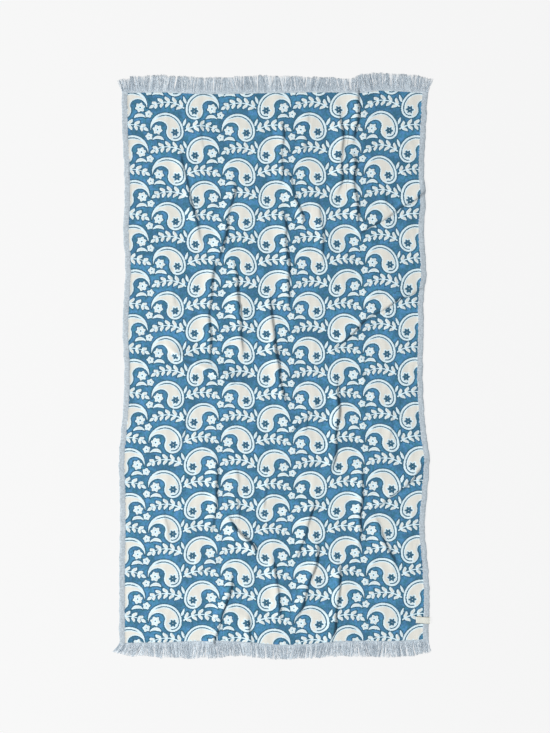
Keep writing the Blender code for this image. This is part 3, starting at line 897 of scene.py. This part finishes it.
def tube_mesh(name, paths, radii, sides):
    """One mesh with a closed tube along each path. Paths are (tubes, rings, 3) and radii (tubes, rings)."""
    tubes, rings = radii.shape
    runs = np.gradient(paths, axis=1)
    runs /= np.linalg.norm(runs, axis=2, keepdims=True)
    aside = np.cross(runs, UP)
    aside /= np.linalg.norm(aside, axis=2, keepdims=True)
    above = np.cross(aside, runs)
    turns = np.arange(sides) * 2 * math.pi / sides
    circle = aside[:, :, None] * np.cos(turns)[:, None] + above[:, :, None] * np.sin(turns)[:, None]
    points = paths[:, :, None] + circle * radii[:, :, None, None]

    tube, ring, side = np.meshgrid(np.arange(tubes), np.arange(rings - 1), np.arange(sides), indexing="ij")
    number = (tube * rings + ring) * sides
    following = (side + 1) % sides
    here, there = number + side, number + following
    walls = np.stack([here, there, there + sides, here + sides], axis=-1).reshape(-1, 4)
    first = np.arange(tubes)[:, None] * rings * sides
    start_caps = first + np.arange(sides)[::-1]
    end_caps = first + (rings - 1) * sides + np.arange(sides)

    mesh = bpy.data.meshes.new(name)
    tube_faces = [*walls.tolist(), *start_caps.tolist(), *end_caps.tolist()]
    mesh.from_pydata(points.reshape(-1, 3).tolist(), [], tube_faces)
    lengths = np.linalg.norm(np.diff(paths, axis=1), axis=2)
    so_far = np.concatenate([np.zeros((tubes, 1)), np.cumsum(lengths, axis=1)], axis=1)
    low, high = so_far[tube, ring], so_far[tube, ring + 1]
    left, right = side / sides, (side + 1) / sides
    twist = np.stack([left, low, right, low, right, high, left, high], axis=-1).reshape(-1, 2)
    u_left, u_right = ((tube + STRIP_GAP + (1 - 2 * STRIP_GAP) * edge) / tubes for edge in (left, right))
    v_low, v_high = (STRIP_END + (1 - 2 * STRIP_END) * at / (rings - 1) for at in (ring, ring + 1))
    strips = np.stack([u_left, v_low, u_right, v_low, u_right, v_high, u_left, v_high], axis=-1)
    cap_circle = np.stack([np.cos(turns) * CAP_ACROSS / tubes, np.sin(turns) * CAP_ALONG], axis=-1)
    middles = (np.arange(tubes) + 0.5) / tubes
    start_strip = np.stack([middles, np.full(tubes, CAP_AT)], axis=-1)[:, None] + cap_circle[::-1]
    end_strip = np.stack([middles, np.full(tubes, 1 - CAP_AT)], axis=-1)[:, None] + cap_circle
    caps = np.concatenate([start_strip.reshape(-1, 2), end_strip.reshape(-1, 2)])
    cap_twist = np.zeros_like(caps)
    twist_map = mesh.uv_layers.new(name="yarn_place")
    twist_map.data.foreach_set("uv", np.concatenate([twist, cap_twist]).astype(np.float32).ravel())
    bake_map = mesh.uv_layers.new(name="OFBake")
    bake_map.data.foreach_set("uv", np.concatenate([strips.reshape(-1, 2), caps]).astype(np.float32).ravel())
    mesh.shade_smooth()
    return mesh


def add_tone(mesh, tones, rings, sides):
    """Gives every tube its own tone, a number that its material reads."""
    layer = mesh.attributes.new("yarn_tone", "FLOAT", "POINT")
    layer.data.foreach_set("value", np.repeat(tones, rings * sides).astype(np.float32))


def add_piece(name, mesh, finish, body="root"):
    """Puts a mesh in the scene as a piece of the towel."""
    mesh.materials.append(finish)
    piece = put_in_scene(name, mesh)
    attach(piece, body)
    return piece


# %% [markdown]
# ## Spun yarn
#
# Cotton yarn is a twist of fibres: slanting grooves run round it, fine hairs blur it, and no two ends take
# the dye alike. The group gives a groove height and a tone, for both the fringe and the sewing thread. The
# tone is darker in the grooves, as painted shade.

# %% Yarn group and material
YARN_RELIEF = 0.00022
FLUFF_AROUND, FLUFF_ALONG = 3.0, 900.0
GROOVE_RISE, FLUFF_RISE = 0.7, 0.3
OWN_TONE, GROOVE_PAINTED_SHADE, FLUFF_TONE = 0.62, 0.16, 0.26

yarn_group, (yarn_place, tone, twist_step) = new_group(
    "Spun yarn", ["Yarn Place", "Tone", "Twist Step"], ["Height", "Tone"]
)
around, along_yarn = yarn_place.parts()
groove = abs(((along_yarn / twist_step + around) * math.pi).math("SINE"))
fluff = speckle(place_of(around * FLUFF_AROUND, along_yarn * FLUFF_ALONG), 1.0, detail=3.0)
# The tone is darker in the twist's grooves, as painted shade.
yarn_tone = tone * OWN_TONE + groove * GROOVE_PAINTED_SHADE + fluff * FLUFF_TONE
give(yarn_group, height=groove * GROOVE_RISE + fluff * FLUFF_RISE, tone=yarn_tone)


def yarn_material(name, dark, light, twist_step):
    """A dull cotton yarn between two colours."""
    material, tree, shader = new_finish(name)
    place, tone = map_place(tree, "yarn_place"), point_value(tree, "yarn_tone")
    yarn = use(yarn_group, tree, yarn_place=place, tone=tone, twist_step=twist_step)
    colour = mixed(yarn["Tone"], dark, light)
    tree.links.new(colour.socket, shader.inputs["Base Color"])
    add_bump(tree, shader, yarn["Height"] * YARN_RELIEF, strength=0.6)
    shader.inputs["Roughness"].default_value = 0.95
    shader.inputs["Sheen Weight"].default_value = 0.12
    return material


YARN_DARK, YARN_LIGHT = (0.245, 0.315, 0.390, 1.0), (0.77, 0.85, 0.91, 1.0)
THREAD_DARK, THREAD_LIGHT = (0.38, 0.46, 0.56, 1.0), (0.66, 0.71, 0.77, 1.0)
fringe_yarn = yarn_material("fringe_yarn", YARN_DARK, YARN_LIGHT, twist_step=0.0032)
sewing_thread = yarn_material("sewing_thread", THREAD_DARK, THREAD_LIGHT, twist_step=0.0012)

# %% [markdown]
# ## The combed fringe
#
# The warp ends draw together in small tufts, cross each other here and there, fan out at the corners and
# end unevenly, as scissors and washing leave them. Their length and lean follow one table for each end of
# the cloth, and randomness at three sizes does the rest: broad clumps, small tufts and single yarns.

# %% Fringe shape
Combed = namedtuple("Combed", "share top_length top_lean bottom_length bottom_lean")
COMBED = [Combed(*row) for row in (
    (-1.00, 0.036, -0.013, 0.026, -0.022), (-0.93, 0.046, -0.006, 0.036, -0.012),
    (-0.85, 0.050, -0.002, 0.042, -0.004), (-0.70, 0.050, 0.001, 0.046, -0.001),
    (-0.50, 0.047, 0.000, 0.051, 0.002), (-0.25, 0.049, -0.002, 0.043, 0.003),
    (0.00, 0.050, 0.001, 0.042, -0.002), (0.25, 0.045, 0.002, 0.043, -0.003),
    (0.48, 0.044, -0.001, 0.046, 0.000), (0.57, 0.051, 0.002, 0.046, 0.002),
    (0.67, 0.050, -0.002, 0.048, -0.002), (0.80, 0.048, 0.002, 0.047, 0.001),
    (0.93, 0.050, 0.006, 0.045, 0.002), (1.00, 0.042, 0.014, 0.039, 0.006),
)]
YARNS = 2150
YARN_RINGS = 9
YARN_SIDES = 5
YARN_RADIUS = 0.00052
ROOT_INSIDE = 0.004
ROOT_HEIGHT = 0.0010
REST_HEIGHT = 0.0006
LAYER_HEIGHT = 0.0022
TUFT_WIDTH = 0.0055
TUFT_LEAN = 0.0022
TUFT_GATHER = 0.10
CLUMP_WIDTH = 0.022
CLUMP_LEAN = 0.0072
YARN_LEAN = 0.0028
YARN_SHORTER = 0.0024
CORNER_FROM = 0.93
CLUMP_LONGER, TUFT_LONGER = 0.0014, 0.0011
CRIMP, CRIMP_TURNS = (0.0002, 0.0009), (0.9, 2.2)
LEAN_CURVE = 1.3
DOWN_BY, LIFTED_FROM, TIP_DROP = 0.45, 0.6, 0.6
TIP_FROM, TIP_THINNER = 0.75, 0.45
TUFT_TONE, YARN_TONE = 0.16, 0.22
KNOT_SHIFT, TUFT_WIDTHS = 0.35, (0.55, 1.45)
CRIMP_FULL, THICKNESSES = 0.4, (0.85, 1.15)


def soft_random(dice, places, width, amount):
    """Random numbers that change smoothly along the cloth's end, about once in each width."""
    knots = np.arange(-CLOTH_WIDTH / 2 - width, CLOTH_WIDTH / 2 + 2 * width, width)
    knots = knots + dice.uniform(-KNOT_SHIFT, KNOT_SHIFT, len(knots)) * width
    return np.interp(places, knots, dice.normal(0, amount, len(knots)))


def tufts_of(dice, places):
    """The tuft that each place belongs to, and the middle of that tuft."""
    widths = dice.uniform(*TUFT_WIDTHS, int(2 * CLOTH_WIDTH / TUFT_WIDTH)) * TUFT_WIDTH
    borders = np.cumsum(widths) - CLOTH_WIDTH
    tuft = np.searchsorted(borders, places)
    return tuft, (borders[tuft - 1] + borders[tuft]) / 2


def fringe(name, outward, seed):
    """One end's fringe, as one mesh of fine tubes."""
    dice = np.random.default_rng(seed)
    end = "top" if outward > 0 else "bottom"
    step = CLOTH_WIDTH / YARNS
    across = (np.arange(YARNS) + 0.5 + dice.uniform(-0.4, 0.4, YARNS)) * step - CLOTH_WIDTH / 2
    share = across / (CLOTH_WIDTH / 2)
    root = under_points(across, np.full(YARNS, outward * (CLOTH_LENGTH / 2 - ROOT_INSIDE)))
    length = along_curve(COMBED, "share", f"{end}_length", share) + ROOT_INSIDE
    tuft, tuft_middle = tufts_of(dice, across)
    by_tuft = dice.normal(0, 1, (3, tuft.max() + 1))
    length = length + soft_random(dice, across, CLUMP_WIDTH, CLUMP_LONGER) + by_tuft[0][tuft] * TUFT_LONGER
    length = length - np.abs(dice.normal(0, YARN_SHORTER, YARNS))
    astray = soft_random(dice, across, CLUMP_WIDTH, CLUMP_LEAN) + by_tuft[1][tuft] * TUFT_LEAN
    astray = astray * (1 - eased((np.abs(share) - CORNER_FROM) / (1 - CORNER_FROM)))
    lean = along_curve(COMBED, "share", f"{end}_lean", share) + astray
    lean = lean + (tuft_middle - across) * TUFT_GATHER + dice.normal(0, YARN_LEAN, YARNS)
    crimp = dice.uniform(*CRIMP, YARNS)
    crimp_turns = dice.uniform(*CRIMP_TURNS, YARNS)
    crimp_start = dice.uniform(0, 2 * math.pi, YARNS)
    layer = REST_HEIGHT + dice.uniform(0, 1, YARNS) ** 1.5 * LAYER_HEIGHT

    t = np.linspace(0, 1, YARN_RINGS)[None, :]
    phase = 2 * math.pi * crimp_turns[:, None] * t + crimp_start[:, None]
    sway = crimp[:, None] * np.sin(phase) * eased(t / CRIMP_FULL)
    x = root[:, None, 0] + lean[:, None] * t**LEAN_CURVE + sway
    y = root[:, None, 1] + outward * length[:, None] * t
    root_z = root[:, None, 2] + ROOT_HEIGHT
    z = root_z + (layer[:, None] - root_z) * eased(t / DOWN_BY)
    z = z + (REST_HEIGHT - layer[:, None]) * eased((t - LIFTED_FROM) / (1 - LIFTED_FROM)) * TIP_DROP
    tip = eased((t - TIP_FROM) / (1 - TIP_FROM))
    radii = YARN_RADIUS * dice.uniform(*THICKNESSES, YARNS)[:, None] * (1 - TIP_THINNER * tip)
    mesh = tube_mesh(name, np.stack([x, y, z], axis=-1), radii, YARN_SIDES)
    tones = 0.5 + by_tuft[2][tuft] * TUFT_TONE + dice.normal(0, YARN_TONE, YARNS)
    add_tone(mesh, np.clip(tones, 0, 1), YARN_RINGS, YARN_SIDES)
    piece = add_piece(name, mesh, fringe_yarn)
    print(name, YARNS, "yarns,", sum(len(p.vertices) - 2 for p in mesh.polygons), "triangles")
    return piece


top_yarns = fringe("top_fringe_yarns", 1, seed=21)
bottom_yarns = fringe("bottom_fringe_yarns", -1, seed=22)
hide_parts("fringe_top")
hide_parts("fringe_bottom")

# %% Stitches down the hems
STITCH_STEP = 0.0042
STITCH_LENGTH = 0.0031
STITCH_RADIUS = 0.00032
STITCH_RINGS = 5
STITCH_SIDES = 6
STITCH_ARCH, STITCH_SINK = 0.00035, 0.00018
HEM_LINE_INSET = 0.0022


def hem_stitches(side):
    """The paths of one hem's stitches, each an arch that dips into the cloth at both ends."""
    count = int(CLOTH_LENGTH / STITCH_STEP) - 1
    start = -CLOTH_LENGTH / 2 + STITCH_STEP / 2 + np.arange(count)[:, None] * STITCH_STEP
    t = np.linspace(0, 1, STITCH_RINGS)[None, :]
    along = start + t * STITCH_LENGTH
    points = under_points(np.full_like(along, side * (HEM_INNER_EDGE + HEM_LINE_INSET)), along)
    points[..., 2] += HEM_THICKNESS + np.sin(math.pi * t) * STITCH_ARCH - STITCH_SINK
    return points


paths = np.concatenate([hem_stitches(-1), hem_stitches(1)])
stitch_mesh = tube_mesh("hem_stitches", paths, np.full(paths.shape[:2], STITCH_RADIUS), STITCH_SIDES)
add_tone(stitch_mesh, np.random.default_rng(5).uniform(0.3, 0.8, len(paths)), STITCH_RINGS, STITCH_SIDES)
stitches = add_piece("hem_stitches", stitch_mesh, sewing_thread)
print("hem stitches:", len(paths))

# %% [markdown]
# ## The tape label
#
# A strip of narrow woven tape, doubled back on itself and caught at the hem. It is made as a ribbon that
# follows a hairpin, thickened by Solidify, with its two layers a hair apart. The upper one lifts a little.

# %% Tape shape
LABEL_LENGTH = 0.043
LABEL_WIDTH = 0.020
LABEL_LAYER = 0.0005
LABEL_PAST_EDGE = 0.003
LABEL_ALONG = -0.784
LABEL_TURN = math.radians(-3)
LABEL_BEND = 0.00045
LABEL_STEPS_ACROSS, LABEL_STEPS, LABEL_BEND_STEPS = 12, 26, 6
TAPE_SWELL, TAPE_LIFT, TAPE_WAVE = 0.0004, 0.0004, 0.00015
TAPE_CLEARANCE = 0.0001
WAVE_ALONG, WAVE_ACROSS = 260, 120


def hairpin():
    """The tape's line seen from its side: in along the cloth, round its fold, and back on top."""
    reach = LABEL_LENGTH - LABEL_LAYER
    lower = [(reach * (1 - k / LABEL_STEPS), 0.0) for k in range(LABEL_STEPS)]
    turns = [math.pi * k / LABEL_BEND_STEPS for k in range(LABEL_BEND_STEPS + 1)]
    bend = [(-math.sin(turn) * LABEL_BEND, LABEL_BEND * (1 - math.cos(turn))) for turn in turns]
    upper = [(reach * (k / LABEL_STEPS), 2 * LABEL_BEND) for k in range(1, LABEL_STEPS + 1)]
    return lower + bend + upper


tape_line = np.array(hairpin())
tape_across = np.linspace(-LABEL_WIDTH / 2, LABEL_WIDTH / 2, LABEL_STEPS_ACROSS + 1)
tape_x, tape_y = np.meshgrid(tape_line[:, 0], tape_across, indexing="ij")
tape_z = np.repeat(tape_line[:, 1:], len(tape_across), axis=1)
on_upper_layer = np.arange(len(tape_line))[:, None] > LABEL_STEPS + LABEL_BEND_STEPS
tape_share = tape_x / LABEL_LENGTH
tape_swell = TAPE_SWELL * np.sin(math.pi * np.clip(tape_share, 0, 1)) + TAPE_LIFT * tape_share**3
tape_swell += TAPE_WAVE * np.sin(tape_x * WAVE_ALONG + tape_y * WAVE_ACROSS)
tape_z = tape_z + np.where(on_upper_layer, np.clip(tape_swell, 0, None), 0.0)

edge_x, edge_y = laid_out(np.array([CLOTH_WIDTH / 2]), np.array([LABEL_ALONG]))
tape_home_x = edge_x[0] + LABEL_PAST_EDGE - LABEL_LENGTH + home_x
tape_home_y = edge_y[0] + home_y
cos_turn, sin_turn = math.cos(LABEL_TURN), math.sin(LABEL_TURN)
world_x = tape_home_x + tape_x * cos_turn - tape_y * sin_turn
world_y = tape_home_y + tape_x * sin_turn + tape_y * cos_turn
tape_flat_x = world_x - world_x.max() + CLOTH_WIDTH / 2 + LABEL_PAST_EDGE
tape_flat_y = world_y - world_y.mean() + LABEL_ALONG
cloth_below = under_points(np.minimum(tape_flat_x, CLOTH_WIDTH / 2), tape_flat_y)[..., 2]
tape_base = float(cloth_below.max()) + hem_thicknesses.max() + LABEL_LAYER / 2 + TAPE_CLEARANCE
print("tape base height:", round(tape_base, 5), "solid label box:", LABEL_BOX)

tape_points = np.stack([world_x, world_y, tape_z + tape_base], axis=-1).reshape(-1, 3)
tape_numbers = np.arange(tape_x.size).reshape(tape_x.shape)
tape_corners = [tape_numbers[:-1, :-1], tape_numbers[1:, :-1], tape_numbers[1:, 1:], tape_numbers[:-1, 1:]]
tape_quads = np.stack([corner.ravel() for corner in tape_corners], axis=1)
tape_mesh = bpy.data.meshes.new("tape_label")
tape_mesh.from_pydata(tape_points.tolist(), [], tape_quads.tolist())
run_steps = np.concatenate([[0.0], np.cumsum(np.linalg.norm(np.diff(tape_line, axis=0), axis=1))])
tape_run = np.repeat(run_steps[:, None], len(tape_across), axis=1)
tape_flat = np.stack([tape_run.ravel(), tape_y.ravel()], axis=1)
tape_map = tape_mesh.uv_layers.new(name="tape_place")
tape_map.data.foreach_set("uv", tape_flat[tape_quads.ravel()].ravel())

# %% Tape material
TAPE_DARK, TAPE_LIGHT = (0.52, 0.51, 0.43, 1.0), (0.90, 0.92, 0.86, 1.0)
RIB_STEP, CORD_STEP = 0.0007, 0.0009
SOIL_SCALE = 240.0
RIB_GAP_SHADE, CORD_GAP_SHADE, SOIL_TONE, BORDER_TONE = 0.25, 0.15, 0.6, 0.7
RIB_RISE, CORD_RISE, BORDER_RISE = 0.00005, 0.00003, 0.00012
BORDER_FROM, BORDER_FULL = LABEL_WIDTH / 2 - 0.0016, LABEL_WIDTH / 2 - 0.0010

tape_weave, tree, shader = new_finish("label_tape")
place = map_place(tree, "tape_place")
x, y = place.parts()
ribs = abs((x * (math.pi / RIB_STEP)).math("SINE"))
cords = abs((y * (math.pi / CORD_STEP)).math("SINE"))
border = abs(y).eased_between(BORDER_FROM, BORDER_FULL)
soil = speckle(place, SOIL_SCALE, detail=3.0)
# Darker between the ribs and cords, as painted shade.
tone = ribs * RIB_GAP_SHADE + cords * CORD_GAP_SHADE + soil * SOIL_TONE - border * BORDER_TONE
colour = mixed(tone.at_least(0.0).at_most(1.0), TAPE_DARK, TAPE_LIGHT)
tree.links.new(colour.socket, shader.inputs["Base Color"])
tape_height = ribs * RIB_RISE + cords * CORD_RISE + border * BORDER_RISE
add_bump(tree, shader, tape_height, strength=0.7)
shader.inputs["Roughness"].default_value = 0.78
shader.inputs["Sheen Weight"].default_value = 0.1

tape = add_piece("tape_label", tape_mesh, tape_weave)
thick = tape.modifiers.new("layer", "SOLIDIFY")
thick.thickness = LABEL_LAYER
thick.offset = 0.0
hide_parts("label")

# %% Stitches that hold the tape
TAPE_STITCHES = 7
TAPE_STITCH_LENGTH, TAPE_STITCH_RADIUS = 0.0019, 0.00025
TAPE_STITCH_MARGIN, TAPE_SIDES = 0.0012, 0.0020
TAPE_STITCH_RISE, TAPE_STITCH_ARCH = 0.0002, 0.00045
TAPE_STITCH_ROWS = (0.0295, 0.0375)


def tape_stitches(at):
    """A short row of stitches across the tape, at a distance from its fold."""
    t = np.linspace(0, 1, STITCH_RINGS)[None, :]
    step = (LABEL_WIDTH - TAPE_SIDES) / TAPE_STITCHES
    first = -LABEL_WIDTH / 2 + TAPE_STITCH_MARGIN + np.arange(TAPE_STITCHES)[:, None] * step
    off = first + t * TAPE_STITCH_LENGTH
    run = np.full_like(off, at)
    x = tape_home_x + run * cos_turn - off * sin_turn
    y = tape_home_y + run * sin_turn + off * cos_turn
    upper_face = tape_base + 2 * LABEL_BEND + LABEL_LAYER / 2
    z = upper_face + TAPE_STITCH_RISE + np.sin(math.pi * t) * TAPE_STITCH_ARCH
    return np.stack([x, y, z + 0 * off], axis=-1)


rows = np.concatenate([tape_stitches(at) for at in TAPE_STITCH_ROWS])
row_mesh = tube_mesh("tape_stitches", rows, np.full(rows.shape[:2], TAPE_STITCH_RADIUS), STITCH_SIDES)
add_tone(row_mesh, np.full(len(rows), 0.6), STITCH_RINGS, STITCH_SIDES)
tape_rows = add_piece("tape_stitches", row_mesh, sewing_thread)
print("tape stitches:", len(rows))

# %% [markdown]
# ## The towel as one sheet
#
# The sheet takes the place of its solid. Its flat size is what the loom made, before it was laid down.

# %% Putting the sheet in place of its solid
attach(towel_sheet, "root")
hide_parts("towel_cloth")

# %% [markdown]
# ## Floor, light and camera
#
# The towel is seen from straight above on a white surface, in soft light from its left. A window-sized lamp
# gives the folds their lit and shaded flanks. It stands far off, so that both sides of the towel are lit
# alike. An even sky fills the shadows, and the floor glows a little so that it stays white.

# %% Floor
FLOOR_SIZE = 120.0
FLOOR_HEIGHT = -0.0003
floor_signs = ((-1, -1), (1, -1), (1, 1), (-1, 1))
floor_corners = [(x * FLOOR_SIZE / 2, y * FLOOR_SIZE / 2, FLOOR_HEIGHT) for x, y in floor_signs]
floor_mesh = bpy.data.meshes.new("floor")
floor_mesh.from_pydata(floor_corners, [], [(0, 1, 2, 3)])
floor = put_in_scene("floor", floor_mesh)
floor_paint, _, shader = new_finish("floor_white")
shader.inputs["Base Color"].default_value = (0.07, 0.07, 0.07, 1)
shader.inputs["Roughness"].default_value = 1.0
shader.inputs["Specular IOR Level"].default_value = 0.0
shader.inputs["Emission Color"].default_value = (1.0, 1.0, 1.0, 1)
shader.inputs["Emission Strength"].default_value = 0.850
floor_mesh.materials.append(floor_paint)

# %% Light
WINDOW_FROM = Vector((-0.80, -0.22, 0.72))
WINDOW_DISTANCE = 9.0
window_light = bpy.data.lights.new("window_light", "AREA")
window_light.shape = "SQUARE"
window_light.size = 2.8
window_light.energy = 873.0
window_light.color = (1.0, 0.99, 0.97)
window = put_in_scene("window_light", window_light)
window.location = WINDOW_FROM.normalized() * WINDOW_DISTANCE
window.rotation_euler = (-WINDOW_FROM).to_track_quat("-Z", "Y").to_euler()

sky = bpy.data.worlds.new("studio_fill")
sky.use_nodes = True
background = sky.node_tree.nodes["Background"]
background.inputs["Color"].default_value = (0.94, 0.97, 1.0, 1)
background.inputs["Strength"].default_value = 0.40
bpy.context.scene.world = sky

# %% Camera
PIXEL = 0.00307
PHOTO_HEIGHT = 733
LENS = 85.0
SENSOR = 36.0
AIM = (0.0015, 0.0008)
camera_data = bpy.data.cameras.new("overhead_camera")
camera_data.lens = LENS
camera_data.sensor_width = SENSOR
camera_data.clip_end = 250.0
camera = put_in_scene("overhead_camera", camera_data)
camera.location = (home_x + AIM[0], home_y + AIM[1], PHOTO_HEIGHT * PIXEL * LENS / SENSOR)
bpy.context.scene.camera = camera
bpy.context.scene.view_settings.view_transform = "Standard"
print("camera height:", round(camera.location.z, 3))

# %% Updating the scene, and the end
bpy.context.view_layer.update()
